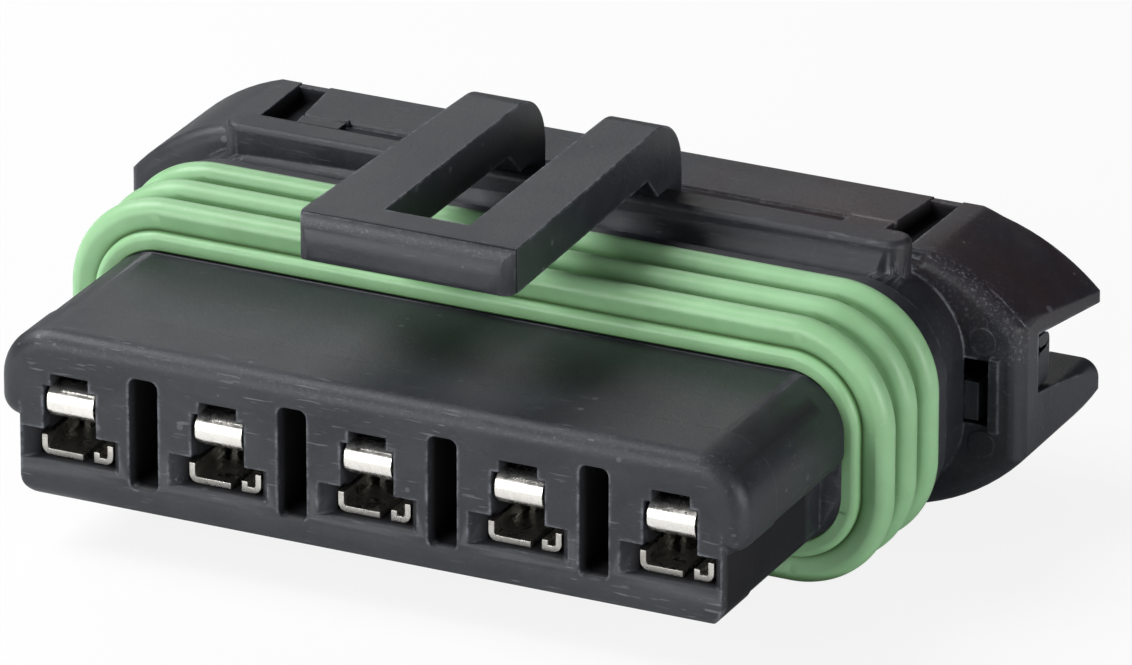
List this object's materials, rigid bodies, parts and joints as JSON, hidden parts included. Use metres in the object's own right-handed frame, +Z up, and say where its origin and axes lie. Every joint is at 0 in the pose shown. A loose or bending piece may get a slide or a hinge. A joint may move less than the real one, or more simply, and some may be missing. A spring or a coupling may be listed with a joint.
{
  "type": "sealed automotive connector",
  "caption": "Sealed in-line female connector with a row of blade cavities, a ribbed interface seal and a loop lock lever on top.",
  "frame": {"origin": "centre of the front face of the nose, on the row of cavities", "axes": "+X along the row of cavities, +Y rearwards to the cable side, +Z up to the lock lever"},
  "size_m": [0.0508, 0.0293, 0.0179],
  "materials": {
    "housing_plastic": "fine satin, worn brighter at the edges",
    "retainer_plastic": "satin",
    "seal_silicone": "matte, slightly oily",
    "terminal_tin": "tin plated, bright",
    "spring_steel": "bright rolled strip"
  },
  "bodies": {
    "body": {"housing": "housing_plastic", "interface_seal": "seal_silicone", "mat_seal": "seal_silicone", "seal_retainer": "retainer_plastic", "terminal_1": "terminal_tin", "terminal_2": "terminal_tin", "terminal_3": "terminal_tin", "terminal_4": "terminal_tin", "terminal_5": "terminal_tin", "contact_spring_1": "spring_steel", "contact_spring_2": "spring_steel", "contact_spring_3": "spring_steel", "contact_spring_4": "spring_steel", "contact_spring_5": "spring_steel"},
    "lever": {"lock_lever": "housing_plastic"}
  },
  "joints": [
    {"name": "lever_hinge", "type": "hinge", "parent": "body", "child": "lever", "pos_m": [0, 0.02305, 0.007], "axis": [-1, 0, 0], "range_deg": [0, 8], "stiffness_Nm_per_rad": 0.3}
  ]
}
